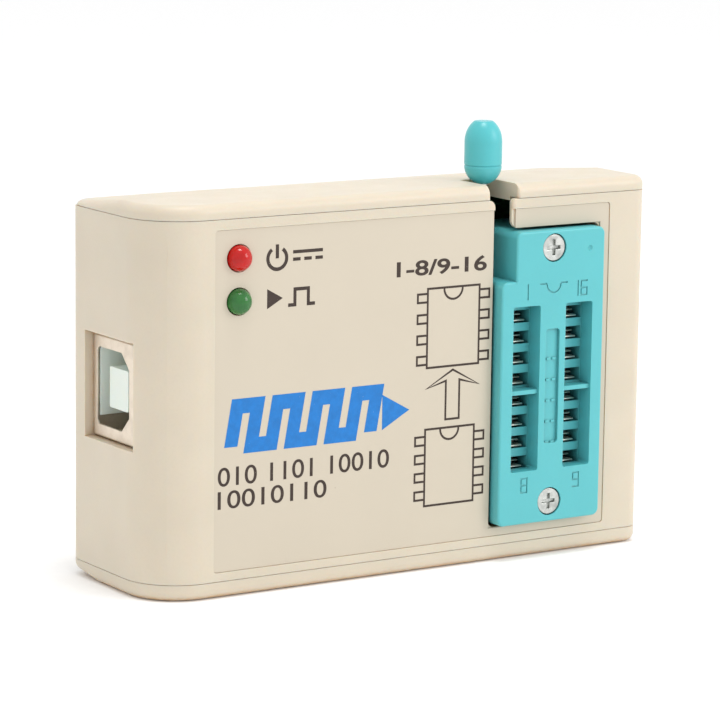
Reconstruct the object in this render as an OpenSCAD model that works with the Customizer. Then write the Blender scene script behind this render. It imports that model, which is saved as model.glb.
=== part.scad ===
// USB programmer for memory chips, with a lever-operated 16-way chip socket.
// The case stands on its long narrow side. +X runs along the case and the USB port is at the -X end,
// -Y is the labelled front, +Z is up, and the origin is the middle of the underside.

/* [Case] */
// Length of the case along X
case_l = 68.5; // [68:0.1:69.5]
// Depth of the case along Y, without the socket
case_d = 20.3; // [20.2:0.1:21]
// Height of the case along Z, without the lever
case_h = 45.35; // [45.2:0.05:45.8]
// Wall thickness of both shells
wall = 1.8; // [1.6:0.05:1.85]
// Radius of the upright edge between the front and the USB end
port_edge_r = 6.6; // [5:0.1:7]
// Radius of the upright edge between the front and the socket end
far_edge_r = 1.7; // [1.6:0.1:2]
// Radius of the two upright edges at the back
rear_edge_r = 2.4; // [2:0.1:2.5]
// Rounding of the edges round the roof and the floor
rim_r = 1.1; // [1:0.1:1.4]
// Height of the upper seam between the shells
seam_hi = 43.6; // [43.5:0.05:43.7]
// Height of the lower seam between the shells
seam_lo = 2; // [1.9:0.05:2.1]
// How far the roof falls towards the back
roof_fall = 1.1; // [0:0.05:1.2]
// How far the floor rises towards the back
floor_rise = 0.5; // [0:0.05:0.6]

/* [Label] */
// Width of the recessed label panel
label_w = 55; // [54:0.1:55.2]
// Height of the recessed label panel
label_h = 39.4; // [39:0.1:39.5]
// Depth of the label panel
label_sink = 0.3; // [0.2:0.05:0.4]
// Thickness of the label film
label_t = 0.2; // [0.1:0.05:0.2]

/* [Chip socket] */
// Width of the socket body
socket_w = 14.9; // [14.8:0.05:15]
// Length of the socket body
socket_h = 35.4; // [35.3:0.05:35.5]
// Middle of the socket along X
socket_x = 19.48; // [19.4:0.02:19.5]
// How far the socket stands proud of the case front
socket_proud = 1.45; // [1.2:0.05:1.6]
// Distance between neighbouring pins
pitch = 2.54; // [2.54]
// Distance between the two rows of pins
row_gap = 7.62; // [7.62]
// Pins in each row
row_pins = 8; // [8]

/* [Lever] */
// Diameter of the lever's steel rod
rod_d = 1.4; // [1.2:0.05:1.4]
// Largest diameter of the lever's knob
knob_d = 4.5; // [4.2:0.1:4.6]
// Length of the lever's knob
knob_h = 7.6; // [7:0.1:8]
// Travel of the socket's slider when the lever opens
slider_travel = 0.8; // [0.8]

/* [USB port] */
// Width of the USB-B shell along Z
usb_w = 12.04; // [12.04]
// Height of the USB-B shell along Y
usb_t = 10.9; // [10.9]
// Middle of the USB port along Z
usb_z = 23.1; // [23:0.05:23.2]
// How far the port's face sits inside the end wall
usb_sink = 1.05; // [0.8:0.05:1.2]

/* [Hidden] */
$fn = 64;

big = 100;
tiny = 0.02;
case_x = case_l / 2;
front_y = -case_d / 2;
back_y = case_d / 2;
roof_break_y = -1.2;
floor_break_y = 3.8;
seam_gap = 0.06;
plug_h = 0.4;
plug_clear = 0.12;
rear_split_x = case_x - rear_edge_r - 0.2;

board_t = 1.6;
board_y = 5.95;
board_back = board_y + board_t;
board_x = case_x - wall - 0.25;
board_lo = seam_lo + plug_h + 0.3;
board_hi = seam_hi - plug_h - 0.3;

boss_d = 5;
pilot_r = 0.95;
screw_r = 0.9;
case_screw_at = [[-29.3, 6.4], [-29.3, 39.2], [29.75, 6.4], [29.75, 39.2]];
screw_head_r = 1.6;
screw_head_t = 0.9;
screw_sink = 1.1;
screw_tip_y = board_y - 6.5;
pad_at = [[-28, -6.5], [28, -6.5], [-28, 1.9], [28, 1.9]];
pad_r = 1.8;
pad_t = 0.9;
pad_clear = 0.05;

label_x = 1.1;
label_z = 22.72;

led_r = 1.5;
led_flange_r = 1.9;
led_x = -23.2;
power_z = 39.1;
run_z = 34.15;
led_tip = 1.35;
led_clear = 0.06;

socket_z = 22.08;
socket_top = front_y - socket_proud;
socket_d = 11.2;
socket_bottom = socket_top + socket_d;
cover_t = 4.8;
split_y = socket_top + cover_t;
socket_gap = 0.28;
socket_corner_r = 0.9;
socket_x0 = socket_x - socket_w / 2;
socket_x1 = socket_x + socket_w / 2;
socket_z0 = socket_z - socket_h / 2;
socket_z1 = socket_z + socket_h / 2;
opening_x0 = socket_x0 - socket_gap;
opening_x1 = socket_x1 + socket_gap;
opening_z0 = socket_z0 - socket_gap;
opening_z1 = socket_z1 + socket_gap;
slot_x1 = 14.35;
slot_edge_r = 0.4;
slot_wall = 0.75;
pin_z0 = 11.52;
channel_w = 3.93;
channel_h = 20;
channel_z = 20.85;
channel_d = 2.28;
slot_h = 1.55;
panel_z0 = 14;
panel_z1 = 27.9;
rows = [socket_x - row_gap / 2, socket_x + row_gap / 2];
socket_screw_z = [6.85, 37.65];
socket_screw_head_r = 1.6;
socket_screw_r = 0.8;

pivot_y = -5.55;
pivot_z = 34.85;
rod_x = 13.05;
rod_r = rod_d / 2;
notch_x0 = 10.95;
notch_x1 = 15.15;
notch_y1 = -3.8;
lever_corner_x = 14.1;
lever_corner_z = 33.9;
knob_z = 44.9;
knob_bore_h = 5.2;
crank_e = slider_travel / (2 * sin(45));
crank_r = 0.45;
crank_x0 = 17.4;
crank_x1 = 21.6;
web_t = 0.8;
web_r = 1.1;
bearing_end = 25.6;
bearing_clear = 0.05;
cavity_z1 = 36.4;

contact_dz = -0.2;
contact_h = 0.8;
leaf_t = 0.22;
leaf_w = 2.6;
short_leaf = 0.8;
slider_y0 = split_y + 0.1;
slider_t = 1.6;
slider_hw = 6.2;
slider_z0 = 9.9;
slider_z1 = 33;
pocket_y = slider_y0 + slider_t + 0.1;
tongue_x0 = 18.1;
tongue_x1 = 20.9;
tongue_z0 = 32;
tongue_z1 = 36.2;
tongue_y1 = -4.6;

usb_y = board_y - usb_t / 2;
usb_x = usb_sink - case_x;
usb_l = 15.8;
usb_skin = 0.35;
usb_mouth_w = 9.1;
usb_mouth_t = 7.6;
usb_mouth_cut = 1.8;
usb_mouth_corner = 0.4;
usb_mouth_y = 0.75;
usb_bend_r = 0.35;
usb_sleeve_l = 9.6;
usb_window = 0.12;
usb_window_top = 0.34;
usb_tab_clear = 0.15;

// ---------- helpers ----------

// Box between two corners
module span(a, b) {
    translate(a) cube(b - a);
}

// Cylinder along Y from y0 to y1, with its middle at x, z
module y_rod(x, z, y0, y1, r) {
    translate([x, y0, z]) rotate([-90, 0, 0]) cylinder(h = y1 - y0, r = r);
}

// Cylinder along X from x0 to x1, with its middle at y, z
module x_rod(y, z, x0, x1, r) {
    translate([x0, y, z]) rotate([0, 90, 0]) cylinder(h = x1 - x0, r = r);
}

// Waste outside a quarter circle at corner [x, y]; sx and sy point into the shape
module corner_waste(x, y, r, sx, sy) {
    difference() {
        translate([x + sx * r / 2, y + sy * r / 2]) square(r + 2 * tiny, center = true);
        translate([x + sx * r, y + sy * r]) circle(r);
        translate([x + sx * (r + r / 2), y + sy * r]) square([r, 4 * r], center = true);
        translate([x + sx * r, y + sy * (r + r / 2)]) square([4 * r, r], center = true);
    }
}

// Waste that rounds an edge running along Z from z0 to z1, at x, y
module edge_waste_z(x, y, z0, z1, r, sx, sy) {
    translate([0, 0, z0]) linear_extrude(z1 - z0) corner_waste(x, y, r, sx, sy);
}

// Waste that rounds an edge running along X from x0 to x1, at y, z
module edge_waste_x(y, z, x0, x1, r, sy, sz) {
    translate([x0, 0, 0]) rotate([90, 0, 90]) linear_extrude(x1 - x0) corner_waste(y, z, r, sy, sz);
}

// Waste that rounds the front edge of an upright corner; sx and sz point out of the shape
module edge_waste_corner(x, y, z, corner_r, r, sx, sz) {
    intersection() {
        translate([x, y, z]) rotate([-90, 0, 0]) rotate_extrude() corner_waste(corner_r, 0, r, -1, 1);
        translate([min(x, x + sx * 2 * corner_r), y - 1, min(z, z + sz * 2 * corner_r)])
            cube([2 * corner_r, 3, 2 * corner_r]);
    }
}

// Rectangle with its own radius at each corner, counter-clockwise from the lower left
module corner_rect(x0, y0, x1, y1, r) {
    difference() {
        translate([x0, y0]) square([x1 - x0, y1 - y0]);
        corner_waste(x0, y0, r[0], 1, 1);
        corner_waste(x1, y0, r[1], -1, 1);
        corner_waste(x1, y1, r[2], -1, -1);
        corner_waste(x0, y1, r[3], 1, -1);
    }
}

// Outline of the case seen from above, drawn in by a distance
module case_plan(inset) {
    corner_rect(
        -case_x + inset, front_y + inset, case_x - inset, back_y - inset,
        [port_edge_r - inset, max(far_edge_r - inset, 0.3), max(rear_edge_r - inset, 0.3),
         max(rear_edge_r - inset, 0.3)]
    );
}

// Prism along Y from y0 to y1; its outline is drawn in X and Z
module y_prism(y0, y1) {
    translate([0, y1, 0]) rotate([90, 0, 0]) linear_extrude(y1 - y0) children();
}

// Ring that rounds one corner of the roof or the floor
module rim_corner(x, y, z, r) {
    translate([x, y, z]) rotate_extrude($fn = 48) intersection() {
        translate([r - rim_r, 0]) circle(rim_r, $fn = 32);
        translate([0, -rim_r]) square([2 * r, 2 * rim_r]);
    }
}

// Whole outer form of the case
module case_form() {
    px = case_x - port_edge_r;
    fx = case_x - far_edge_r;
    rx = case_x - rear_edge_r;
    ex = case_x - rim_r;
    hull() {
        for (z = [rim_r, case_h - rim_r]) {
            rim_corner(-px, front_y + port_edge_r, z, port_edge_r);
            rim_corner(fx, front_y + far_edge_r, z, far_edge_r);
        }
        for (x = [-rx, rx], z = [rim_r + floor_rise, case_h - rim_r - roof_fall])
            rim_corner(x, back_y - rear_edge_r, z, rear_edge_r);
        for (x = [-ex, ex]) {
            translate([x, roof_break_y, case_h - rim_r]) sphere(rim_r, $fn = 32);
            translate([x, floor_break_y, rim_r]) sphere(rim_r, $fn = 32);
        }
    }
}

// Copies the child at every pin of both rows
module each_pin() {
    for (x = rows, k = [0 : row_pins - 1]) translate([x, 0, pin_z0 + k * pitch]) children();
}

// Cross recess of a screw head, cut along Y from y0
module cross_recess(x, z, y0, w, t, d) {
    for (a = [0, 90])
        translate([x, y0, z]) rotate([0, a, 0]) translate([0, d / 2, 0]) cube([w, d, t], center = true);
}

// ---------- case ----------

// Opening in the roof that the lever's rod stands in
module roof_notch() {
    span([notch_x0, front_y - 1, seam_lo + 5], [notch_x1, notch_y1, case_h + 1]);
    edge_waste_z(notch_x1, front_y, seam_hi - 1, case_h + 1, slot_edge_r, 1, 1);
}

// Roof, floor and back of the case in one piece
module back_shell() {
    color("#e8dfcd")
    difference() {
        union() {
            intersection() {
                case_form();
                union() {
                    span([-big, -big, seam_hi + seam_gap], [big, big, big]);
                    span([-big, -big, -1], [big, big, seam_lo - seam_gap]);
                    span([-rear_split_x, back_y - wall, -1], [rear_split_x, big, big]);
                }
            }
            translate([0, 0, seam_hi - plug_h])
                linear_extrude(plug_h + seam_gap + tiny) case_plan(wall + plug_clear);
            translate([0, 0, seam_lo - seam_gap - tiny])
                linear_extrude(plug_h + seam_gap + tiny) case_plan(wall + plug_clear);
            for (p = case_screw_at) y_rod(p[0], p[1], board_back, back_y - wall + tiny, boss_d / 2);
        }
        roof_notch();
        for (p = case_screw_at) {
            y_rod(p[0], p[1], board_back - 1, back_y + 1, 1.2);
            y_rod(p[0], p[1], back_y - screw_sink, back_y + 1, screw_head_r + 0.15);
        }
        for (p = pad_at)
            translate([p[0], p[1], -1]) cylinder(h = pad_t + pad_clear + 1, r = pad_r + pad_clear);
    }
}

// Soft pads set flush in pockets of the floor
module floor_pads() {
    color("#3a3a3a")
    for (p = pad_at) translate([p[0], p[1], 0]) cylinder(h = pad_t, r = pad_r);
}

// Front wall and both ends of the case in one piece
module front_cover() {
    color("#ece3d2")
    difference() {
        union() {
            translate([0, 0, seam_lo]) linear_extrude(seam_hi - seam_lo) difference() {
                case_plan(0);
                case_plan(wall);
                translate([-rear_split_x - 0.08, back_y - 3 * wall / 2])
                    square([2 * rear_split_x + 0.16, 2 * wall]);
            }
            for (p = case_screw_at) {
                y_rod(p[0], p[1], front_y + wall - 0.4, board_y, boss_d / 2);
                span([min(p[0], sign(p[0]) * (case_x - wall / 2)), front_y + port_edge_r, p[1] - 0.6],
                     [max(p[0], sign(p[0]) * (case_x - wall / 2)), board_y - 3, p[1] + 0.6]);
            }
        }
        for (p = case_screw_at) y_rod(p[0], p[1], screw_tip_y - 2.5, board_y + 1, pilot_r);
        y_prism(front_y - 1, front_y + wall + 1)
            corner_rect(opening_x0, opening_z0, opening_x1, opening_z1, [0.8, 0.8, 0.8, 0.3]);
        // Slot for the lever, above the opening, with rounded upper and lower corners
        y_prism(front_y - 1, front_y + wall + 1) {
            translate([opening_x0, socket_z1 - 2]) square([slot_x1 - opening_x0, 8]);
            corner_waste(opening_x0, seam_hi, 0.9, -1, -1);
            corner_waste(slot_x1, seam_hi, 0.5, 1, -1);
            corner_waste(slot_x1, opening_z1, 1, 1, 1);
        }
        edge_waste_z(slot_x1, front_y, opening_z1, seam_hi + 1, slot_edge_r, 1, 1);
        // Thinner wall beside the slot
        span([slot_x1 - 1, front_y + slot_wall, opening_z1 - 1],
             [slot_x1 + 2.2, front_y + wall + 1, seam_hi + 1]);
        y_prism(front_y - 1, front_y + label_sink) label_outline(0);
        for (z = [power_z, run_z])
            y_rod(led_x, z, front_y - 1, front_y + wall + 1, led_r + led_clear);
        span([-case_x - 1, usb_y - usb_t / 2 - usb_window, usb_z - usb_w / 2 - usb_window],
             [-case_x + wall + 1, usb_y + usb_t / 2 + usb_window, usb_z + usb_w / 2 + usb_window_top]);
    }
}

// Outline of the label panel, drawn in by a distance
module label_outline(inset) {
    x0 = label_x - label_w / 2 + inset;
    z0 = label_z - label_h / 2 + inset;
    corner_rect(x0, z0, x0 + label_w - 2 * inset, z0 + label_h - 2 * inset, [0.4, 0.4, 0.4, 0.4]);
}

// Printed film that lies in the label panel
module label_film() {
    margin = 0.06;
    color("#efe8d8")
    y_prism(front_y + label_sink - label_t, front_y + label_sink) difference() {
        label_outline(0.03);
        translate([opening_x0 - margin, opening_z0 - margin])
            square([opening_x1 - opening_x0 + 2 * margin, opening_z1 - opening_z0 + 2 * margin]);
        translate([opening_x0 - margin, socket_z1 - 1])
            square([slot_x1 + slot_edge_r + 2 * margin - opening_x0, 9]);
        for (z = [power_z, run_z]) translate([led_x, z]) circle(led_r + 2 * led_clear);
    }
}

// Screws that hold the two shells and the board together
module case_screws() {
    head_y = back_y - screw_sink;
    color("silver")
    for (p = case_screw_at) difference() {
        union() {
            y_rod(p[0], p[1], screw_tip_y, head_y, screw_r);
            y_rod(p[0], p[1], head_y, head_y + screw_head_t, screw_head_r);
        }
        cross_recess(p[0], p[1], head_y + screw_head_t - 0.5, 1.9, 0.45, 1);
    }
}

// ---------- electronics ----------

module circuit_board() {
    color("#1d5b35")
    difference() {
        span([-board_x, board_y, board_lo], [board_x, board_back, board_hi]);
        for (p = case_screw_at) y_rod(p[0], p[1], board_y - 1, board_back + 1, 1.15);
        each_pin() y_rod(0, 0, board_y - 1, board_back + 1, 0.4);
        for (z = usb_pin_z(), x = usb_pin_x()) y_rod(x, z, board_y - 1, board_back + 1, 0.45);
        usb_tabs(usb_tab_clear);
        for (z = [power_z, run_z], s = [-1, 1])
            y_rod(led_x + s * 1.27, z, board_y - 1, board_back + 1, 0.4);
    }
}

// Round-nosed LED standing on two legs, with its light towards the front
module led(z) {
    tip_y = front_y - led_tip;
    dome_y = tip_y + led_r;
    flange_y = tip_y + 4.3;
    y_rod(led_x, z, dome_y, flange_y + 1, led_r);
    translate([led_x, dome_y, z]) sphere(led_r);
    y_rod(led_x, z, flange_y, flange_y + 1, led_flange_r);
    for (s = [-1, 1])
        span([led_x + s * 1.27 - 0.22, flange_y + 0.9, z - 0.22],
             [led_x + s * 1.27 + 0.22, board_back + 0.5, z + 0.22]);
}

module power_led() {
    color("red") led(power_z);
}

module run_led() {
    color("green") led(run_z);
}

function usb_pin_z() = [usb_z - 1.25, usb_z + 1.25];
function usb_pin_x() = [usb_x + 12.3, usb_x + 14.3];

// D-shaped outline of the port's mouth, drawn out by a distance, in Y and Z
module usb_mouth(grow) {
    t = usb_mouth_t / 2 + grow;
    w = usb_mouth_w / 2 + grow;
    c = usb_mouth_cut;
    k = usb_mouth_corner;
    translate([usb_mouth_y, 0]) polygon([
        [t, k - w], [t, w - k], [t - k, w], [c - t, w],
        [-t, w - c], [-t, c - w], [c - t, -w], [t - k, -w]
    ]);
}

// Prism along X from x0 to x1 round the port's middle; its outline is drawn in Y and Z
module usb_prism(x0, x1) {
    translate([x0, usb_y, usb_z]) rotate([90, 0, 90]) linear_extrude(x1 - x0) children();
}

module usb_shell() {
    inner = usb_skin;
    color("#c9ccce") {
        difference() {
            usb_prism(usb_x, usb_x + usb_l) square([usb_t, usb_w], center = true);
            usb_prism(usb_x + inner, usb_x + usb_l + 1)
                square([usb_t - 2 * inner, usb_w - 2 * inner], center = true);
            usb_prism(usb_x - 1, usb_x + 1) usb_mouth(0);
            // Bent edges round the face
            for (s = [-1, 1]) {
                edge_waste_z(usb_x, usb_y + s * usb_t / 2, usb_z - usb_w, usb_z + usb_w, usb_bend_r, 1, -s);
                y_prism(usb_y - usb_t, usb_y + usb_t)
                    corner_waste(usb_x, usb_z + s * usb_w / 2, usb_bend_r, 1, -s);
            }
            // Open floor for the legs
            span([usb_x + 11.6, usb_y, usb_z - 2.2], [usb_x + 15, board_y + 1, usb_z + 2.2]);
        }
        usb_tabs(0);
    }
}

// Two tabs that hold the port in the board, drawn out by a distance
module usb_tabs(grow) {
    tab_z = usb_w / 2 - 0.22;
    for (s = [-1, 1])
        span([usb_x + 9 - grow, board_y - 0.1, usb_z + s * tab_z - 0.22 - grow],
             [usb_x + 10.4 + grow, board_back + 0.5, usb_z + s * tab_z + 0.22 + grow]);
}

tongue_t = 4.4;
tongue_w = 4.8;
tongue_y = usb_y + usb_mouth_y - 0.15;

module usb_insulator() {
    clear = 0.06;
    sleeve_t = 0.45;
    sleeve_open_l = 6;
    sleeve_open_h = 0.9;
    color("#e9efe6") {
        usb_prism(usb_x + 0.7, usb_x + usb_sleeve_l + 1) translate([tongue_y - usb_y, 0]) corner_rect(
            -tongue_t / 2, -tongue_w / 2, tongue_t / 2, tongue_w / 2, [0.3, 0.3, 0.3, 0.3]);
        // Sleeve round the mouth
        difference() {
            usb_prism(usb_x + usb_skin + 0.1, usb_x + usb_sleeve_l + 1) usb_mouth(sleeve_t);
            usb_prism(usb_x, usb_x + usb_sleeve_l + clear) usb_mouth(0);
            // Open underside near the mouth
            span([usb_x, usb_y - usb_t, usb_z - usb_w],
                 [usb_x + sleeve_open_l, usb_y + usb_t, usb_z - usb_mouth_w / 2 + sleeve_open_h]);
        }
        usb_prism(usb_x + usb_sleeve_l + clear, usb_x + usb_l - 0.3) square(
            [usb_t - 2 * usb_skin - clear, usb_w - 2 * usb_skin - clear], center = true);
    }
}

// Four strips lying on the tongue, with legs that pass down to the board
module usb_contacts() {
    strip_t = 0.15;
    color("gold")
    for (s = [-1, 1], f = [-1, 1]) {
        face = tongue_y + f * (tongue_t / 2 + strip_t / 2 + 0.01);
        span([usb_x + 2.2, face - strip_t / 2, usb_z + s * 1.25 - 0.5],
             [usb_x + usb_sleeve_l, face + strip_t / 2, usb_z + s * 1.25 + 0.5]);
        x = f > 0 ? usb_pin_x()[0] : usb_pin_x()[1];
        span([x - 0.25, board_y - 0.3, usb_z + s * 1.25 - 0.25],
             [x + 0.25, board_back + 0.5, usb_z + s * 1.25 + 0.25]);
    }
}

chip_at = [-3.5, 24];
chip_w = 7;
chip_t = 1.4;

// Flat square chip on the board, with chamfered upper edges and a pin-one dot
module microcontroller() {
    color("#202224")
    difference() {
        span([chip_at[0] - chip_w / 2, board_y - 0.1 - chip_t, chip_at[1] - chip_w / 2],
             [chip_at[0] + chip_w / 2, board_y - 0.1, chip_at[1] + chip_w / 2]);
        y_rod(chip_at[0] - 2.5, chip_at[1] + 2.5, board_y - 3, board_y - chip_t, 0.4);
    }
}

module microcontroller_leads() {
    per_side = 8;
    step = 0.8;
    color("silver")
    for (a = [0, 90, 180, 270], k = [0 : per_side - 1])
        translate([chip_at[0], 0, chip_at[1]]) rotate([0, a, 0])
            translate([(k - (per_side - 1) / 2) * step, 0, 0]) {
                span([-0.18, board_y - 0.85, chip_w / 2], [0.18, board_y - 0.65, chip_w / 2 + 0.45]);
                span([-0.18, board_y - 0.85, chip_w / 2 + 0.4], [0.18, board_y, chip_w / 2 + 0.6]);
                span([-0.18, board_y - 0.2, chip_w / 2 + 0.5], [0.18, board_y, chip_w / 2 + 1]);
            }
}

// Low metal crystal can lying along X
module crystal() {
    color("silver")
    difference() {
        union() {
            y_prism(board_y - 3.5, board_y) can_outline(11, 4.6, 33.5);
            y_prism(board_y - 0.4, board_y) can_outline(11.6, 5.2, 33.5);
        }
        y_prism(board_y - 4, board_y - 3.3) can_outline(9.4, 3, 33.5);
    }
}

// Long outline with round ends
module can_outline(l, w, z) {
    translate([chip_at[0], z]) {
        square([l - w, w], center = true);
        for (s = [-1, 1]) translate([s * (l - w) / 2, 0]) circle(w / 2);
    }
}

// Regulator with a heat tab and three legs
module voltage_regulator() {
    x = -10.5;
    z = 11;
    color("#25272a") {
        span([x - 3.25, board_y - 1.7, z - 1.75], [x + 3.25, board_y - 0.1, z + 1.75]);
        span([x - 1.5, board_y - 0.3, z + 1.7], [x + 1.5, board_y, z + 3.5]);
        for (k = [-1, 0, 1])
            span([x + 2.3 * k - 0.35, board_y - 0.3, z - 3.5], [x + 2.3 * k + 0.35, board_y, z - 1.7]);
    }
}

capacitor_at = [[0.5, 9.5], [6.6, 9.5]];

// Aluminium cans on square feet
module electrolytic_capacitors() {
    can_r = 2;
    can_h = 5.2;
    foot = 4.3;
    color("silver")
    for (p = capacitor_at) {
        span([p[0] - foot / 2, board_y - 0.9, p[1] - foot / 2],
             [p[0] + foot / 2, board_y, p[1] + foot / 2]);
        difference() {
            y_rod(p[0], p[1], board_y - can_h, board_y - 0.8, can_r);
            translate([p[0], board_y - 1.7, p[1]]) rotate([90, 0, 0])
                rotate_extrude() translate([can_r + 0.15, 0]) circle(0.35);
        }
    }
}

// Small chip part with two metal ends, lying along X or Z
module chip_part(x, z, t) {
    span([x - 1, board_y - t, z - 0.6], [x + 1, board_y, z + 0.6]);
    for (s = [-1, 1])
        span([x + s * 0.85 - 0.2, board_y - t - 0.04, z - 0.64], [x + s * 0.85 + 0.2, board_y, z + 0.64]);
}

module chip_capacitors() {
    color("#b08d5f")
    for (k = [0 : 3]) {
        chip_part(-13.5, 27 + 3 * k, 0.9);
        chip_part(4.5, 21 + 3 * k, 0.9);
    }
}

module chip_resistors() {
    color("#1b1b1d")
    for (k = [0 : 4]) chip_part(8.8, 17 + 3 * k, 0.5);
    for (k = [0 : 1]) chip_part(-13.5, 38 + 2.5 * k, 0.5);
}

module transistors() {
    color("#1b1b1d")
    for (z = [33.5, 38.5]) {
        span([6, board_y - 1.1, z - 0.7], [8.9, board_y - 0.1, z + 0.7]);
        for (x = [6.5, 8.4]) span([x - 0.2, board_y - 0.2, z - 1.3], [x + 0.2, board_y, z - 0.6]);
        span([7.25, board_y - 0.2, z + 0.6], [7.65, board_y, z + 1.3]);
    }
}

// ---------- chip socket ----------

// Two strips of sockets that lift the chip socket off the board
module riser_strips() {
    strip_w = 2.5;
    color("#1a1b1d") {
        for (x = rows) difference() {
            span([x - strip_w / 2, socket_bottom + 0.05, pin_z0 - pitch / 2],
                 [x + strip_w / 2, board_y, pin_z0 + (row_pins - 0.5) * pitch]);
            for (k = [0 : row_pins - 1])
                span([x - 0.45, socket_bottom - 1, pin_z0 + k * pitch - 0.45],
                     [x + 0.45, socket_bottom + 4, pin_z0 + k * pitch + 0.45]);
        }
        each_pin() span([-0.22, board_y - 0.5, -0.22], [0.22, board_back + 0.5, 0.22]);
    }
}

// Outline of the socket with the lever's corner cut away
module socket_outline() {
    corner_rect(socket_x0, socket_z0, socket_x0 + socket_w, socket_z1, socket_corner_r * [1, 1, 1, 1]);
}

// Corner of the socket that the lever swings through
module lever_corner(y1) {
    span([socket_x0 - 1, socket_top - 1, lever_corner_z], [lever_corner_x, y1, socket_z1 + 1]);
}

module socket_base() {
    bore_r = rod_r + bearing_clear;
    color("#4fb3b8")
    difference() {
        y_prism(split_y, socket_bottom) socket_outline();
        lever_corner(pivot_y + rod_r + 0.35);
        // Pocket that the slider runs in
        span([socket_x - slider_hw - 0.1, split_y - 1, slider_z0 - slider_travel - 0.2],
             [socket_x + slider_hw + 0.1, pocket_y, slider_z1 + 0.2]);
        // Room for the crank and the slider's tongue
        span([crank_x0 - web_t - 0.2, split_y - 1, tongue_z0 - slider_travel - 0.2],
             [crank_x1 + web_t + 0.2, pivot_y + web_r + 0.15, cavity_z1]);
        x_rod(pivot_y, pivot_z, lever_corner_x - 1, bearing_end + 0.2, bore_r);
        for (z = socket_screw_z) y_rod(socket_x, z, split_y - 1, split_y + 4.2, socket_screw_r + 0.05);
        each_pin() span([-leaf_w / 2 - 0.05, split_y, contact_dz - contact_h / 2 - 0.05],
                        [leaf_w / 2 + 0.05, socket_bottom + 1, contact_dz + contact_h / 2 + 0.05]);
        // Hollow underside
        span([socket_x - 2, socket_bottom - 1.5, socket_z0 + 6],
             [socket_x + 2, socket_bottom + 1, socket_z1 - 6]);
    }
}

// Sixteen forked springs with their pins
module socket_contacts() {
    top_y = socket_top + channel_d + 0.25;
    fork_y = pocket_y + 0.4;
    lo = contact_dz - contact_h / 2;
    hi = contact_dz + contact_h / 2;
    color("#d8cfa8")
    each_pin() {
        for (leaf = [[top_y, lo], [top_y + short_leaf, hi - leaf_t]]) {
            span([-leaf_w / 2, leaf[0], leaf[1]], [leaf_w / 2, fork_y, leaf[1] + leaf_t]);
            translate([0, leaf[0], leaf[1] + leaf_t / 2]) rotate([0, 90, 0])
                cylinder(h = leaf_w, r = leaf_t / 2, center = true, $fn = 24);
        }
        span([-leaf_w / 2, fork_y - tiny, lo], [leaf_w / 2, fork_y + 0.4, hi]);
        span([-0.25, fork_y, -0.2], [0.25, socket_bottom + 3.2, 0.1]);
    }
}

// Comb that pushes the springs apart as the crank moves it down
module socket_slider() {
    pin_z = pivot_z + crank_e * cos(45);
    groove = crank_r + 0.07;
    color("#1d2527")
    difference() {
        union() {
            span([socket_x - slider_hw, slider_y0, slider_z0],
                 [socket_x + slider_hw, slider_y0 + slider_t, slider_z1]);
            span([tongue_x0, slider_y0, tongue_z0], [tongue_x1, tongue_y1, tongue_z1]);
        }
        each_pin() span([-leaf_w / 2 - 0.2, slider_y0 - 1, contact_dz - contact_h / 2 - 0.05],
                        [leaf_w / 2 + 0.2, slider_y0 + slider_t + 1,
                         contact_dz + contact_h / 2 + 0.05 + slider_travel]);
        span([tongue_x0 - 1, slider_y0 - 1, pin_z - groove], [tongue_x1 + 1, pivot_y + 0.2, pin_z + groove]);
    }
}

// Outline of the cover, with a step where the lever swings
module cover_outline() {
    r = socket_corner_r * [1, 1, 1, 1];
    corner_rect(socket_x0, socket_z0, socket_x1, lever_corner_z, r);
    corner_rect(lever_corner_x, socket_z0 + 2, socket_x1, socket_z1, r);
}

// Waste that rounds the cover's front edge all the way round
module cover_edge_waste(r) {
    c = socket_corner_r;
    edge_waste_x(socket_top, socket_z0, socket_x0 + c, socket_x1 - c, r, 1, 1);
    edge_waste_x(socket_top, socket_z1, lever_corner_x + c, socket_x1 - c, r, 1, -1);
    edge_waste_x(socket_top, lever_corner_z, socket_x0 + c, lever_corner_x, r, 1, -1);
    edge_waste_z(socket_x1, socket_top, socket_z0 + c, socket_z1 - c, r, -1, 1);
    edge_waste_z(socket_x0, socket_top, socket_z0 + c, lever_corner_z - c, r, 1, 1);
    edge_waste_z(lever_corner_x, socket_top, lever_corner_z, socket_z1 - c, r, 1, 1);
    edge_waste_corner(socket_x0 + c, socket_top, socket_z0 + c, c, r, -1, -1);
    edge_waste_corner(socket_x1 - c, socket_top, socket_z0 + c, c, r, 1, -1);
    edge_waste_corner(socket_x1 - c, socket_top, socket_z1 - c, c, r, 1, 1);
    edge_waste_corner(lever_corner_x + c, socket_top, socket_z1 - c, c, r, -1, 1);
    edge_waste_corner(socket_x0 + c, socket_top, lever_corner_z - c, c, r, -1, 1);
}

// Bars of a numeral: a top, b and c right, d bottom, e and f left, g middle
function numeral_bars(n) = n == 1 ? "bc" : n == 6 ? "acdefg" : n == 8 ? "abcdefg" : "abcdfg";

// Numeral made of bars, with its lower left corner at x, z
module numeral(n, x, z) {
    w = 1.05;
    h = 1.9;
    t = 0.2;
    for (bar = numeral_bars(n)) {
        across = bar == "a" || bar == "d" || bar == "g";
        bar_x = x + (bar == "b" || bar == "c" ? w - t : 0);
        bar_z = z + (bar == "a" ? h - t : bar == "g" ? (h - t) / 2 : bar == "b" || bar == "f" ? h / 2 : 0);
        translate([bar_x, bar_z]) square(across ? [w, t] : [t, h / 2]);
    }
}

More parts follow.
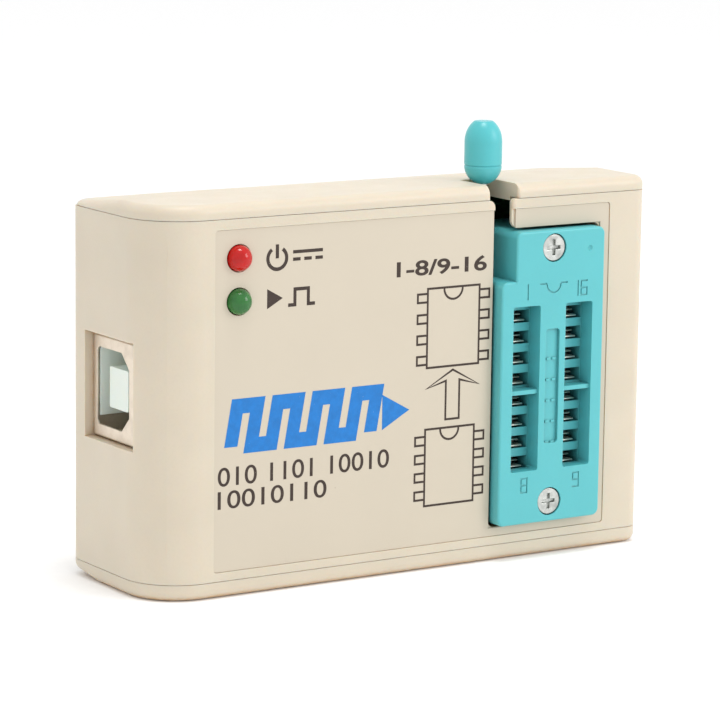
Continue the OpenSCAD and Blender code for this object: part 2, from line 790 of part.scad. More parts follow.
// Pin numbers and the half-round chip mark sunk in the cover
module cover_marks() {
    mark_d = 0.12;
    above = channel_z + channel_h / 2 + 0.75;
    below = channel_z - channel_h / 2 - 2.65;
    y_prism(socket_top - 1, socket_top + mark_d) {
        numeral(1, rows[0] - 0.9, above);
        numeral(1, rows[1] - 1.2, above);
        numeral(6, rows[1] + 0.1, above);
        numeral(8, rows[0] - 0.5, below);
        numeral(9, rows[1] - 0.5, below);
        intersection() {
            translate([socket_x, above + 1.7]) difference() {
                circle(1.1);
                circle(0.9);
            }
            translate([socket_x - 2, above]) square([4, 1.7]);
        }
        for (s = [-1, 1]) translate([socket_x + s * 1.5 - 0.5, above + 1.7]) square([1, 0.2]);
    }
}

module socket_cover() {
    z_mid = pin_z0 + (row_pins - 1) / 2 * pitch;
    panel_d = 0.4;
    color("#5fd0d4")
    difference() {
        union() {
            difference() {
                y_prism(socket_top, split_y) cover_outline();
                for (x = rows)
                    y_prism(socket_top - 1, socket_top + channel_d) corner_rect(
                        x - channel_w / 2, channel_z - channel_h / 2, x + channel_w / 2,
                        channel_z + channel_h / 2, [0.3, 0.3, 0.3, 0.3]);
            }
            // Rib across the middle of each channel
            for (x = rows)
                span([x - channel_w / 2 - 0.1, socket_top + 0.35, z_mid - 0.25],
                     [x + channel_w / 2 + 0.1, socket_top + channel_d + 0.1, z_mid + 0.25]);
        }
        each_pin() span([-channel_w / 2 + 0.05, socket_top + channel_d - 0.1, -slot_h / 2],
                        [channel_w / 2 - 0.05, split_y + 1, slot_h / 2]);
        cover_edge_waste(0.3);
        cover_marks();
        for (z = socket_screw_z) {
            y_rod(socket_x, z, socket_top - 1, split_y + 1, socket_screw_r + 0.05);
            y_rod(socket_x, z, socket_top - 1, socket_top + 1.1, socket_screw_head_r + 0.12);
        }
        // Shallow panel between the channels, with a raised tick at every pin, and a moulding dimple
        difference() {
            y_prism(socket_top - 1, socket_top + panel_d)
                corner_rect(socket_x - 1, panel_z0, socket_x + 1, panel_z1, [0.4, 0.4, 0.4, 0.4]);
            for (k = [1 : row_pins - 3], s = [-1, 1])
                translate([socket_x + s * 0.42, socket_top + panel_d + 0.35, pin_z0 + k * pitch])
                    cube([0.5, 1, 0.28], center = true);
        }
        translate([24.7, socket_top - 0.25, 37.3]) sphere(0.45);
    }
}

module socket_screws() {
    head_t = 0.9;
    head_y = socket_top + 0.15;
    color("silver")
    for (z = socket_screw_z) difference() {
        union() {
            y_rod(socket_x, z, head_y, head_y + head_t, socket_screw_head_r);
            y_rod(socket_x, z, head_y + head_t - tiny, split_y + 3.8, socket_screw_r);
        }
        cross_recess(socket_x, z, head_y - 0.4, 1.9, 0.42, 0.9);
    }
}

// ---------- lever ----------

// One bent steel rod: the arm, the shaft in the socket and the crank on it
module lever_arm() {
    pin_y = pivot_y - crank_e * sin(45);
    pin_z = pivot_z + crank_e * cos(45);
    color("silver") {
        translate([rod_x, pivot_y, pivot_z]) {
            sphere(rod_r);
            cylinder(h = knob_z + knob_bore_h - pivot_z - 0.2, r = rod_r);
        }
        x_rod(pivot_y, pivot_z, rod_x, crank_x0 + tiny, rod_r);
        x_rod(pivot_y, pivot_z, crank_x1 - tiny, bearing_end, rod_r);
        x_rod(pin_y, pin_z, crank_x0 - tiny, crank_x1 + tiny, crank_r);
        for (x = [crank_x0 - web_t, crank_x1]) x_rod(pivot_y, pivot_z, x, x + web_t, web_r);
    }
}

// Quarter of an ellipse as points, from angle a0 to a1
function arc_points(r, h, y, a0, a1, n) =
    [for (i = [0 : n]) let (a = a0 + (a1 - a0) * i / n) [r * cos(a), y + h * sin(a)]];

// Knob pressed on the end of the arm
module lever_knob() {
    foot_h = 2.35;
    head_h = 2.5;
    r = knob_d / 2;
    top_r = 1.1;
    head_a = acos(top_r / r);
    gate_turn = 33;
    color("#55bfc4")
    translate([rod_x, pivot_y, knob_z]) difference() {
        rotate_extrude() difference() {
            polygon(concat(
                [[0, 0]],
                arc_points(r, foot_h, foot_h, -89, 0, 10),
                arc_points(r, head_h / sin(head_a), knob_h - head_h, 0, head_a, 10),
                [[0, knob_h]]
            ));
            // Parting line
            translate([r, foot_h]) rotate(45) square(0.16, center = true);
        }
        translate([0, 0, -1]) cylinder(h = knob_bore_h + 1, r = rod_r + 0.02);
        rotate(-gate_turn) translate([0, -r, knob_h / 2 + 0.6]) sphere(0.22, $fn = 24);
    }
}

back_shell();
front_cover();
label_film();
case_screws();
circuit_board();
power_led();
run_led();
usb_shell();
usb_insulator();
usb_contacts();
microcontroller();
microcontroller_leads();
crystal();
voltage_regulator();
electrolytic_capacitors();
chip_capacitors();
chip_resistors();
transistors();
riser_strips();
socket_base();
socket_contacts();
socket_slider();
socket_cover();
socket_screws();
lever_arm();
lever_knob();
floor_pads();
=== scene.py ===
"""Looks of a USB chip programmer: materials, printed label and studio round the CAD frame."""

import math

import bmesh
import bpy
from mathutils import Matrix, Vector


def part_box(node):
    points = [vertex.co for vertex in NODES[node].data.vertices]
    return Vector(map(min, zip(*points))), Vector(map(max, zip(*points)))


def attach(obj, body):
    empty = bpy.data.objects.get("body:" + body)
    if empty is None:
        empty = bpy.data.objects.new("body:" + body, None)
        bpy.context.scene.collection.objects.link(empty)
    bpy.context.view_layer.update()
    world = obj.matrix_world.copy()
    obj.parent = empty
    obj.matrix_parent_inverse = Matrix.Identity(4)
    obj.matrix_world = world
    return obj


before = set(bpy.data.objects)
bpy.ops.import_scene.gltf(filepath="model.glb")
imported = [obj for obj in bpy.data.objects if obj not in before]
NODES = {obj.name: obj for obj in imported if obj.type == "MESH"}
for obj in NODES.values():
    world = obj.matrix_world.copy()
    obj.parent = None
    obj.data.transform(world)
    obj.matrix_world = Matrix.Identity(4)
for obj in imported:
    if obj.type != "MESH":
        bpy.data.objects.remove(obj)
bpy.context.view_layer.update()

MM = 0.001

# ---------- studio ----------

CAMERA_AT = Vector((-223.1, -345.2, 96.7)) * MM
CAMERA_TURN = 32.83
CAMERA_DOWN = 10.04
CAMERA_ROLL = 0.76
CAMERA_LENS = 175
WORLD_STRENGTH = 1.04
LIGHTS_FACE = Vector((0, 0, 22)) * MM
# Place and size in millimetres, and power in watts
LIGHTS = {
    "light_top": ((-10, -50, 420), (120, 100), 0.55),
    "light_right": ((330, -360, 230), (200, 240), 0.75),
}
FLOOR_SIZE = 6.0
FLOOR_Z = -0.02 * MM


def make_camera():
    """Camera at the photograph's viewing angle."""
    data = bpy.data.cameras.new("camera")
    data.lens = CAMERA_LENS
    data.sensor_width = 36
    data.clip_start = 0.01
    camera = bpy.data.objects.new("camera", data)
    heading = Matrix.Rotation(math.radians(-CAMERA_TURN), 4, "Z")
    tilt = Matrix.Rotation(math.radians(90 - CAMERA_DOWN), 4, "X")
    roll = Matrix.Rotation(math.radians(CAMERA_ROLL), 4, "Z")
    camera.matrix_world = Matrix.Translation(CAMERA_AT) @ heading @ tilt @ roll
    bpy.context.scene.collection.objects.link(camera)
    bpy.context.scene.camera = camera


def softbox(name, at_mm, size_mm, power):
    """Rectangular light that faces the middle of the object."""
    data = bpy.data.lights.new(name, "AREA")
    data.shape = "RECTANGLE"
    data.size, data.size_y = size_mm[0] * MM, size_mm[1] * MM
    data.energy = power
    lamp = bpy.data.objects.new(name, data)
    lamp.location = Vector(at_mm) * MM
    aim = (LIGHTS_FACE - lamp.location).normalized()
    lamp.rotation_mode = "QUATERNION"
    lamp.rotation_quaternion = aim.to_track_quat("-Z", "Y")
    bpy.context.scene.collection.objects.link(lamp)


def make_studio():
    """White surroundings, a pale floor and two soft lights."""
    scene = bpy.context.scene
    scene.view_settings.view_transform = "Standard"
    world = bpy.data.worlds.new("studio")
    world.use_nodes = True
    background = world.node_tree.nodes["Background"]
    background.inputs["Color"].default_value = (1.0, 1.0, 1.0, 1)
    background.inputs["Strength"].default_value = WORLD_STRENGTH
    scene.world = world

    for name, (at_mm, size_mm, power) in LIGHTS.items():
        softbox(name, at_mm, size_mm, power)

    bpy.ops.mesh.primitive_plane_add(size=FLOOR_SIZE, location=(0, 0, FLOOR_Z))
    floor = bpy.context.object
    floor.name = "floor"
    floor.data.materials.append(floor_look())


# ---------- materials ----------


def srgb(red, green, blue):
    """Linear colour of an sRGB colour given from 0 to 255."""
    def linear(value):
        value /= 255
        return value / 12.92 if value <= 0.04045 else ((value + 0.055) / 1.055) ** 2.4
    return (linear(red), linear(green), linear(blue), 1)


MICROMETRE = 1e-6
PIN_PITCH = 2.54
# Usual span of a noise pattern's values, from its troughs to its crests
NOISE_LOW, NOISE_HIGH = 0.3, 0.7


class Look:
    """One procedural material. Its patterns have sizes in millimetres on the object itself."""

    def __init__(self, name, **constants):
        self.material = bpy.data.materials.new(name)
        self.material.use_nodes = True
        self.tree = self.material.node_tree
        self.shader = self.tree.nodes["Principled BSDF"]
        for socket, value in constants.items():
            self.shader.inputs[socket.replace("_", " ")].default_value = value
        self.place = self.node("ShaderNodeTexCoord").outputs["Object"]
        self.normal = None

    def node(self, kind, **settings):
        made = self.tree.nodes.new(kind)
        for key, value in settings.items():
            setattr(made, key, value)
        return made

    def link(self, source, target):
        self.tree.links.new(source, target)

    def stretched(self, stretch):
        """The place on the object, with the pattern drawn out along some axes."""
        mapping = self.node("ShaderNodeMapping")
        self.link(self.place, mapping.inputs["Vector"])
        mapping.inputs["Scale"].default_value = [1 / s for s in stretch]
        return mapping.outputs["Vector"]

    def noise(self, size, detail=3, stretch=(1, 1, 1)):
        """Cloudy pattern from 0 to 1, with features of about this size."""
        made = self.node("ShaderNodeTexNoise")
        self.link(self.stretched(stretch), made.inputs["Vector"])
        made.inputs["Scale"].default_value = 1 / (size * MM)
        made.inputs["Detail"].default_value = detail
        return made.outputs["Fac"]

    def cloudy(self, size, detail, to_low, to_high, stretch=(1, 1, 1)):
        """Noise of this size, from to_low in its troughs to to_high on its crests."""
        pattern = self.noise(size, detail, stretch)
        return self.spread(pattern, NOISE_LOW, NOISE_HIGH, to_low, to_high)

    def spots(self, size, reach):
        """Sparse round spots, 1 at their middles and 0 outside."""
        made = self.node("ShaderNodeTexVoronoi")
        self.link(self.place, made.inputs["Vector"])
        made.inputs["Scale"].default_value = 1 / (size * MM)
        return self.spread(made.outputs["Distance"], reach, 0, 0, 1)

    def spread(self, value, low, high, to_low, to_high):
        """value, mapped from low..high to to_low..to_high."""
        made = self.node("ShaderNodeMapRange")
        self.link(value, made.inputs["Value"])
        for socket, number in zip(
            ("From Min", "From Max", "To Min", "To Max"), (low, high, to_low, to_high)
        ):
            made.inputs[socket].default_value = number
        return made.outputs["Result"]

    def math(self, operation, first, second):
        made = self.node("ShaderNodeMath", operation=operation)
        for socket, value in zip(made.inputs, (first, second)):
            if isinstance(value, (int, float)):
                socket.default_value = value
            else:
                self.link(value, socket)
        return made.outputs["Value"]

    def blend(self, amount, first, second):
        """first where amount is 0 and second where it is 1."""
        made = self.node("ShaderNodeMix", data_type="RGBA")
        self.link(amount, made.inputs["Factor"])
        for index, value in ((6, first), (7, second)):
            if isinstance(value, tuple):
                made.inputs[index].default_value = value
            else:
                self.link(value, made.inputs[index])
        return made.outputs[2]

    def edges(self, reach):
        """1 on sharp outer edges and corners, 0 on open faces."""
        bevel = self.node("ShaderNodeBevel", samples=4)
        bevel.inputs["Radius"].default_value = reach * MM
        face = self.node("ShaderNodeNewGeometry")
        turn = self.node("ShaderNodeVectorMath", operation="DOT_PRODUCT")
        self.link(bevel.outputs["Normal"], turn.inputs[0])
        self.link(face.outputs["Normal"], turn.inputs[1])
        return self.spread(turn.outputs["Value"], 0.999, 0.9, 0, 1)

    def corners(self, reach, shut=0.35, free=0.95):
        """1 deep in grooves and corners, 0 on open faces, from ambient occlusion; a mask for
        painted shade.
        """
        made = self.node("ShaderNodeAmbientOcclusion", samples=4)
        made.inputs["Distance"].default_value = reach * MM
        return self.spread(made.outputs["AO"], shut, free, 1, 0)

    def bump(self, height, micrometres):
        """Adds relief of this height to the relief so far."""
        made = self.node("ShaderNodeBump")
        made.inputs["Distance"].default_value = micrometres * MICROMETRE
        self.link(height, made.inputs["Height"])
        if self.normal is not None:
            self.link(self.normal, made.inputs["Normal"])
        self.normal = made.outputs["Normal"]

    def finish(self, colour, roughness):
        self.link(colour, self.shader.inputs["Base Color"])
        self.link(roughness, self.shader.inputs["Roughness"])
        if self.normal is not None:
            self.link(self.normal, self.shader.inputs["Normal"])
        return self.material


def shade(colour, factor):
    """colour, lighter or darker by a factor."""
    return tuple(min(1, c * factor) for c in colour[:3]) + (1,)


def tint(colour, other, amount):
    """colour, moved towards another by an amount from 0 to 1."""
    return tuple(c + (o - c) * amount for c, o in zip(colour, other))


def plastic(
    name, colour, roughness, grain=0.14, grain_depth=5,
    glow=0.0, wear=1.12, grime_and_shade=None, hole_shade=None,
):
    """Moulded plastic: faint clouds, specks, matt grain, worn edges, dust with painted shade in
    corners, painted shade in holes.
    """
    # Default colour for dust with painted shade in corners: darker and browner than the plastic
    grime_and_shade = grime_and_shade or tint(shade(colour, 0.72), srgb(120, 96, 70), 0.15)
    look = Look(
        name,
        Subsurface_Weight=glow,
        Subsurface_Radius=(1.0, 0.55, 0.3),
        Subsurface_Scale=1.2 * MM,
        Specular_IOR_Level=0.5,
    )
    base = look.blend(look.cloudy(7, 2, 0, 1), shade(colour, 0.975), shade(colour, 1.02))
    specks = look.spread(look.noise(0.3, 2), 0.45, 0.75, 0, 0.25)
    base = look.blend(specks, base, shade(colour, 0.93))
    rubbed = look.spread(look.noise(1.1), 0.35, 0.7, 0.1, 0.6)
    base = look.blend(look.math("MULTIPLY", look.edges(0.18), rubbed), base, shade(colour, wear))
    # Dust noise times an occlusion mask: dust with painted shade in corners, grooves and seams
    dust = look.spread(look.noise(0.8), 0.3, 0.8, 0.2, 0.8)
    dust_and_corner_shade = look.math("MULTIPLY", look.corners(0.7), dust)
    base = look.blend(dust_and_corner_shade, base, grime_and_shade)
    # Painted shade: deep holes darkened towards a near-black colour by occlusion
    if hole_shade:
        base = look.blend(look.corners(2.2, 0.1, 0.42), base, hole_shade)
    smears = look.cloudy(3.5, 4, roughness - 0.05, roughness + 0.07, (1, 1, 2.5))
    fine = look.cloudy(0.25, 2, -0.03, 0.03)
    look.bump(look.noise(5, 1), 18)
    look.bump(look.noise(grain, 2), grain_depth)
    return look.finish(base, look.math("ADD", smears, fine))


def metal(name, colour, roughness, brush=(1, 1, 1), tarnish=0.7, depth=2.5):
    """Plated metal: brushed or rolled streaks, dull patches, fine scratches, and dust with painted
    shade in corners.
    """
    look = Look(name, Metallic=1.0)
    patches = look.spread(look.noise(1.2, 4), 0.4, 0.75, 0, 1)
    base = look.blend(patches, shade(colour, 1.05), shade(colour, tarnish))
    # Dust noise times an occlusion mask: dust with painted shade in corners and grooves
    dust = look.spread(look.noise(0.3), 0.3, 0.8, 0.2, 0.9)
    dust_and_corner_shade = look.math("MULTIPLY", look.corners(0.4), dust)
    base = look.blend(dust_and_corner_shade, base, shade(colour, 0.35))
    streaks = look.noise(0.16, 3, brush)
    rough = look.math(
        "ADD",
        look.spread(streaks, NOISE_LOW, NOISE_HIGH, roughness - 0.06, roughness + 0.08),
        look.spread(patches, 0, 1, 0, 0.12),
    )
    look.bump(streaks, depth)
    look.bump(look.noise(0.7, 2), depth * 3)
    return look.finish(base, rough)


def lens(name, colour, deep):
    """Tinted LED epoxy: clouded with a deeper colour, with a polished, lightly scuffed skin."""
    look = Look(
        name,
        Subsurface_Weight=0.15,
        Subsurface_Radius=(1.0, 0.5, 0.4),
        Subsurface_Scale=0.5 * MM,
        Specular_IOR_Level=0.4,
    )
    base = look.blend(look.cloudy(0.9, 3, 0, 0.5), colour, deep)
    scuffs = look.spread(look.noise(0.25, 3), 0.35, 0.8, 0.1, 0.24)
    look.bump(look.noise(0.6, 2), 3)
    return look.finish(base, scuffs)


def board_look():
    """Mottled green solder mask, with the copper tracks under it as paler raised lines."""
    look = Look("board_look", Coat_Weight=0.3, Coat_Roughness=0.2)
    mask = srgb(24, 84, 52)
    tracks = look.node("ShaderNodeTexBrick", offset=0.5, squash=1.7)
    turned = look.node("ShaderNodeMapping")
    look.link(look.place, turned.inputs["Vector"])
    turned.inputs["Rotation"].default_value = (math.radians(90), 0, 0)
    look.link(turned.outputs["Vector"], tracks.inputs["Vector"])
    tracks.inputs["Scale"].default_value = 1 / (PIN_PITCH * MM)
    tracks.inputs["Mortar Size"].default_value = 0.07
    tracks.inputs["Brick Width"].default_value = 1.9
    tracks.inputs["Row Height"].default_value = 0.5
    lines = tracks.outputs["Fac"]
    base = look.blend(lines, mask, shade(mask, 1.7))
    base = look.blend(look.cloudy(2.5, 3, 0, 0.35), base, shade(mask, 0.7))
    look.bump(lines, 30)
    look.bump(look.noise(0.3, 2), 4)
    return look.finish(base, look.cloudy(1.5, 3, 0.25, 0.42))


def label_look(colour):
    """Satin printed film: nearly even, with faint ripples, fine scratches and dust specks."""
    look = Look("label_look", Specular_IOR_Level=0.5, Coat_Weight=0.15, Coat_Roughness=0.3)
    base = look.blend(look.cloudy(12, 2, 0, 1), shade(colour, 0.985), shade(colour, 1.01))
    where = look.spread(look.noise(6, 1), 0.5, 0.7, 0, 0.6)
    dust = look.math("MULTIPLY", look.spots(3.1, 0.035), where)
    base = look.blend(dust, base, srgb(120, 105, 85))
    scratches = look.spread(look.noise(0.35, 5, (9, 1, 1)), 0.62, 0.8, 0, 0.25)
    base = look.blend(scratches, base, shade(colour, 1.05))
    rubbed = look.spread(look.noise(1.1), 0.35, 0.7, 0.1, 0.7)
    base = look.blend(look.math("MULTIPLY", look.edges(0.1), rubbed), base, shade(colour, 0.9))
    look.bump(look.noise(9, 2), 25)
    look.bump(look.noise(0.22, 2), 2.5)
    return look.finish(base, look.cloudy(4, 4, 0.36, 0.5))


def ink_look(name, colour, gaps):
    """Printing ink: uneven density, and tiny gaps where the film shows through."""
    look = Look(name, Specular_IOR_Level=0.4)
    base = look.blend(look.cloudy(0.8, 4, 0, 1), shade(colour, 0.9), shade(colour, 1.08))
    holes = look.spread(look.noise(0.28, 3), 0.70 - gaps, 0.76 - gaps, 0, 0.7)
    base = look.blend(holes, base, srgb(206, 196, 178))
    look.bump(look.noise(0.15, 2), 2)
    return look.finish(base, look.cloudy(0.5, 3, 0.4, 0.6))


def floor_look():
    """Pale seamless paper."""
    look = Look("floor_look", Specular_IOR_Level=0.2)
    base = look.blend(look.cloudy(1.5, 4, 0, 1), (0.93, 0.93, 0.93, 1), (0.95, 0.95, 0.95, 1))
    look.bump(look.noise(0.8, 3), 15)
    return look.finish(base, look.cloudy(20, 3, 0.75, 0.9))


# Linear base colours
CREAM = (0.6, 0.53, 0.42, 1)
TEAL = (0.09, 0.445, 0.475, 1)
DEEP_TEAL = (0.07, 0.44, 0.47, 1)
# Warm colour for the case's corners and seams: dust with painted shade
AMBER_GRIME_AND_SHADE = srgb(200, 150, 92)
# Near-black teal: painted shade inside the socket's holes
PAINTED_HOLE_SHADE = srgb(16, 44, 46)


def make_looks():
    """Every material, by the record's material slot."""
    tin = srgb(205, 206, 202)
    return {
        "case_plastic": plastic("case_look", CREAM, 0.42, glow=0.35, grime_and_shade=AMBER_GRIME_AND_SHADE),
        "label": label_look(shade(CREAM, 0.9)),
        "socket_plastic": plastic(
            "socket_look", TEAL, 0.36, grain=0.1, grain_depth=3, glow=0.1, hole_shade=PAINTED_HOLE_SHADE
        ),
        "slider_plastic": plastic("slider_look", srgb(34, 40, 42), 0.4),
        "knob_plastic": plastic(
            "knob_look", DEEP_TEAL, 0.33, grain=0.12, grain_depth=3, glow=0.08
        ),
        "contact_metal": metal("contact_look", srgb(226, 224, 214), 0.42, (1, 6, 1), 0.85),
        "gold_contact": metal("gold_look", srgb(226, 188, 108), 0.25, (6, 1, 1)),
        "screw_steel": metal("screw_look", srgb(196, 198, 194), 0.24, (1, 1, 1), 0.6, 6),
        "shell_metal": metal("port_shell_look", srgb(224, 212, 196), 0.48, (5, 1, 1), 0.94),
        "port_plastic": plastic("port_look", srgb(222, 230, 222), 0.4, glow=0.2),
        "red_lens": lens("red_lens_look", srgb(190, 12, 6), srgb(146, 6, 4)),
        "green_lens": lens("green_lens_look", srgb(48, 112, 50), srgb(30, 86, 40)),
        "board": board_look(),
        "chip_black": plastic("chip_look", srgb(34, 35, 38), 0.5, grain=0.08, wear=1.6),
        "ceramic": plastic("ceramic_look", srgb(172, 138, 96), 0.45, grain=0.1),
        "can_metal": metal("can_look", tin, 0.25, (1, 8, 1)),
        "rubber": plastic(
            "rubber_look", srgb(44, 44, 46), 0.75, grain=0.2, grain_depth=9, wear=1.5
        ),
    }


# Finish and edge rounding in millimetres of every CAD node
NODE_FINISH = {
    "back_shell": ("case_plastic", 0.1),
    "front_cover": ("case_plastic", 0.05),
    "label_film": ("label", 0.02),
    "case_screws": ("screw_steel", 0.08),
    "circuit_board": ("board", 0.05),
    "power_led": ("red_lens", 0.05),
    "run_led": ("green_lens", 0.05),
    "usb_shell": ("shell_metal", 0.08),
    "usb_insulator": ("port_plastic", 0.12),
    "usb_contacts": ("gold_contact", 0.03),
    "microcontroller": ("chip_black", 0.08),
    "microcontroller_leads": ("contact_metal", 0.04),
    "crystal": ("can_metal", 0.15),
    "voltage_regulator": ("chip_black", 0.08),
    "electrolytic_capacitors": ("can_metal", 0.1),
    "chip_capacitors": ("ceramic", 0.05),
    "chip_resistors": ("chip_black", 0.04),
    "transistors": ("chip_black", 0.05),
    "riser_strips": ("chip_black", 0.05),
    "socket_base": ("socket_plastic", 0.08),
    "socket_contacts": ("contact_metal", 0.03),
    "socket_slider": ("slider_plastic", 0.05),
    "socket_cover": ("socket_plastic", 0.05),
    "socket_screws": ("screw_steel", 0.08),
    "lever_arm": ("screw_steel", 0.05),
    "lever_knob": ("knob_plastic", 0.02),
    "floor_pads": ("rubber", 0.05),
}


WELD_REACH = 0.001 * MM
FLAT_ANGLE = math.radians(0.2)
SHARP_ANGLE = math.radians(38)


def soften(piece, radius):
    """Rounds a piece's sharp edges by a radius in millimetres, once its flat faces are joined."""
    weld = piece.modifiers.new("weld", "WELD")
    weld.merge_threshold = WELD_REACH
    flat = piece.modifiers.new("flat_faces", "DECIMATE")
    flat.decimate_type = "DISSOLVE"
    flat.angle_limit = FLAT_ANGLE
    bevel = piece.modifiers.new("rounding", "BEVEL")
    bevel.width = radius * MM
    bevel.segments = 2
    bevel.limit_method = "ANGLE"
    bevel.angle_limit = SHARP_ANGLE
    bevel.use_clamp_overlap = True
    smooth = piece.modifiers.new("smooth", "WEIGHTED_NORMAL")
    smooth.keep_sharp = False


def dress_nodes(looks):
    """Gives every CAD node its material and soft edges."""
    for name, (slot, radius) in NODE_FINISH.items():
        piece = NODES[name]
        piece.data.materials.clear()
        piece.data.materials.append(looks[slot])
        soften(piece, radius)


# ---------- printed label ----------

# Sizes in millimetres
INK_T = 0.012
INK_CLEAR = 0.003
WELD_INK = 0.002
LINE = 0.26
ICON_LINE = 0.4
WAVE_LINE = 1.75
# Least cosine a mitred bend is drawn with, so that sharp ones stay blunt
LEAST_MITRE = 0.5


def stroke(points, width, closed=False):
    """Four-cornered patches that follow a line of points, with mitred bends."""
    line = [Vector(p) for p in points]
    count = len(line)
    sides = []
    for i, point in enumerate(line):
        before = line[i - 1] if closed or i else None
        after = line[(i + 1) % count] if closed or i < count - 1 else None
        ahead = ((after - point) if after is not None else (point - before)).normalized()
        behind = (point - before).normalized() if before is not None else ahead
        normals = [Vector((-d.y, d.x)) for d in (behind, ahead)]
        mitre = (normals[0] + normals[1]).normalized()
        reach = width / 2 / max(mitre.dot(normals[0]), LEAST_MITRE)
        sides.append((point + mitre * reach, point - mitre * reach))
    last = count if closed else count - 1
    return [
        (sides[i][0], sides[(i + 1) % count][0], sides[(i + 1) % count][1], sides[i][1])
        for i in range(last)
    ]


def arc(x, z, radius, start, end, steps=16):
    """Points round a circle, from one angle to another in degrees."""
    angles = [math.radians(start + (end - start) * i / steps) for i in range(steps + 1)]
    return [(x + radius * math.cos(a), z + radius * math.sin(a)) for a in angles]


def box_points(x0, z0, x1, z1):
    return [(x0, z0), (x1, z0), (x1, z1), (x0, z1)]


def printed(name, patches, ink):
    """Thin layer of ink on the label's front, from flat patches given in X and Z."""
    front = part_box("label_film")[0].y
    made = bmesh.new()
    for patch in patches:
        made.faces.new([made.verts.new((x * MM, front - INK_T * MM, z * MM)) for x, z in patch])
    bmesh.ops.remove_doubles(made, verts=made.verts, dist=WELD_INK * MM)
    bmesh.ops.recalc_face_normals(made, faces=made.faces)
    if made.faces[0].normal.y > 0:
        bmesh.ops.reverse_faces(made, faces=made.faces)
    mesh = bpy.data.meshes.new(name)
    made.to_mesh(mesh)
    made.free()
    piece = bpy.data.objects.new(name, mesh)
    bpy.context.scene.collection.objects.link(piece)
    thick = piece.modifiers.new("thickness", "SOLIDIFY")
    thick.thickness = (INK_T - INK_CLEAR) * MM
    thick.offset = -1
    mesh.materials.append(ink)
    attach(piece, "case")
    return piece


def chip_icon(x, z, width, height, pin_pitch, first_pin):
    """Outline of an eight-pin chip seen from above, as line patches. x, z is its middle."""
    left, right = x - width / 2, x + width / 2
    low, high = z - height / 2, z + height / 2
    pin_l, pin_h = 1.4, 1.0
    notch_r, notch_x = 1.3, x - 0.05
    patches = stroke(box_points(left, low, right, high), LINE, closed=True)
    patches += stroke(arc(notch_x, high - LINE / 2, notch_r, 180, 360), LINE)
    for k in range(4):
        middle = first_pin - k * pin_pitch
        for edge, out in ((left, -pin_l), (right, pin_l)):
            tip = edge + out
            inner = edge + math.copysign(LINE / 2, out)
            patches += stroke(
                [(inner, middle + pin_h / 2), (tip, middle + pin_h / 2),
                 (tip, middle - pin_h / 2), (inner, middle - pin_h / 2)], LINE)
    return patches


def arrow_icon(x, tip, low):
    """Outline of an arrow that points up, with barbed corners."""
    shaft, head, shoulder, barb = 0.96, 3.7, tip - 1.25, tip - 2.0
    points = [
        (x, tip), (x - head, barb), (x - shaft, shoulder), (x - shaft, low),
        (x + shaft, low), (x + shaft, shoulder), (x + head, barb),
    ]
    return stroke(points, LINE, closed=True)


def power_icon(x, z, radius):
    """Ring with a gap at the top and an upright bar in it."""
    line, bar_rise = 0.42, 0.35
    patches = stroke(arc(x, z, radius, 125, 415, 32), line)
    return patches + stroke([(x, z), (x, z + radius + bar_rise)], line)


def direct_current_icon(x, z, width):
    """A long bar over three short ones."""
    dash, line = width / 4, 0.38
    upper, lower = z + 0.4, z - 0.45
    patches = stroke([(x, upper), (x + width, upper)], line)
    for k in range(3):
        start = x + k * (width - dash) / 2
        patches += stroke([(start, lower), (start + dash, lower)], line)
    return patches


def play_icon(x, z, height):
    """Solid triangle that points right."""
    return [((x, z - height / 2), (x + height * 0.9, z), (x, z + height / 2))]


def pulse_icon(x, z, width, height, thick):
    """One square pulse on a base line."""
    step = width / 4
    low, high = z - height / 2 + thick / 2, z + height / 2 - thick / 2
    return stroke(
        [(x, low), (x + step, low), (x + step, high), (x + 3 * step, high),
         (x + 3 * step, low), (x + width, low)], thick)


def leaning(patches, base_z, lean):
    """Patches slanted to the right above a base line."""
    return [[(x + (z - base_z) * lean, z) for x, z in patch] for patch in patches]


def pulse_train(x0, x1, low, high, thick, pulses):
    """Square wave of thick strokes between two heights."""
    step = (x1 - x0 - thick) / (2 * pulses - 1)
    bottom, top = low + thick / 2, high - thick / 2
    points, x, level = [(x0, bottom)], x0 + thick / 2, bottom
    for k in range(2 * pulses):
        other = top if level == bottom else bottom
        points += [(x, level), (x, other)]
        level = other
        x += step
    points.append((x1, level))
    return stroke(points[1:-1], thick)


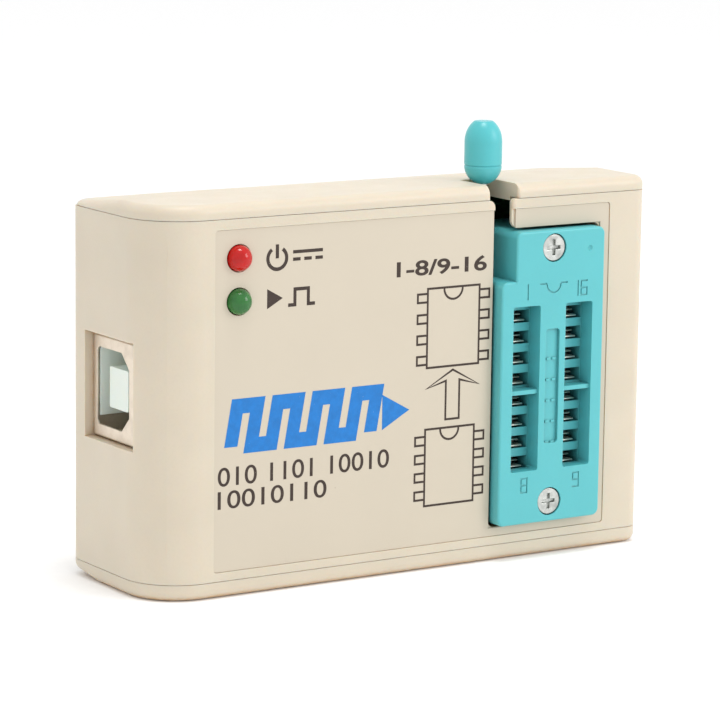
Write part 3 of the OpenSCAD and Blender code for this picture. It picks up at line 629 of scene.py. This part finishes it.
def numerals(name, text, x, z, height, width, ink, weight):
    """Printed numbers whose lower left corner is at x, z, fitted to a height and a width."""
    curve = bpy.data.curves.new(name, "FONT")
    curve.body = text
    curve.offset = weight
    holder = bpy.data.objects.new(name + "_curve", curve)
    bpy.context.scene.collection.objects.link(holder)
    bpy.context.view_layer.update()
    drawn = holder.evaluated_get(bpy.context.evaluated_depsgraph_get())
    flat = bpy.data.meshes.new_from_object(drawn)
    bpy.data.objects.remove(holder)
    across = [v.co.x for v in flat.vertices]
    along = [v.co.y for v in flat.vertices]
    wide = width / (max(across) - min(across))
    tall = height / (max(along) - min(along))
    points = [
        ((right - min(across)) * wide + x, (up - min(along)) * tall + z)
        for right, up in zip(across, along)
    ]
    patches = [[points[i] for i in face.vertices] for face in flat.polygons]
    bpy.data.meshes.remove(flat)
    return printed(name, patches, ink)


def make_label():
    """Generic marks in the places of the label's print: symbols, numbers, chips and an arrow.

    Places and sizes are in millimetres, X along the case and Z up from its underside.
    """
    dark = ink_look("dark_ink_look", srgb(52, 38, 30), 0.0)
    blue = ink_look("blue_ink_look", srgb(10, 112, 188), -0.02)
    printed("print_power", power_icon(-18.2, 38.75, 1.25), dark)
    printed("print_direct_current", direct_current_icon(-16.1, 38.95, 4.0), dark)
    printed("print_run", play_icon(-19.5, 34.15, 2.3), dark)
    printed("print_pulse", pulse_icon(-16.7, 34.15, 3.6, 2.2, ICON_LINE), dark)
    numerals("print_pins", "1-8/9-16", -1.95, 35.35, 1.85, 12.7, dark, weight=0.02)
    printed("print_chip_upper", chip_icon(6.12, 29.02, 7.33, 9.4, 2.47, 32.64), dark)
    printed("print_chip_lower", chip_icon(5.86, 12.36, 6.95, 9.2, 2.19, 15.62), dark)
    printed("print_arrow", arrow_icon(6.17, 23.84, 17.95), dark)
    wave_low, wave_high, wave_lean = 16.6, 23.0, 0.18
    wave = pulse_train(-25.2, -4.6, wave_low, wave_high, WAVE_LINE, 4)
    printed("print_wave", leaning(wave, wave_low, wave_lean), blue)
    printed("print_wave_end", play_icon(-3.7, 19.6, 4.2), blue)
    bits_x = -25.85
    numerals("print_bits_first", "010 1101 10010", bits_x, 13.0, 2.2, 23.2, dark, weight=0.005)
    numerals("print_bits_second", "10010110", bits_x, 10.35, 2.1, 14.6, dark, weight=0.005)


# ---------- whole scene ----------

make_studio()
make_camera()
dress_nodes(make_looks())
make_label()
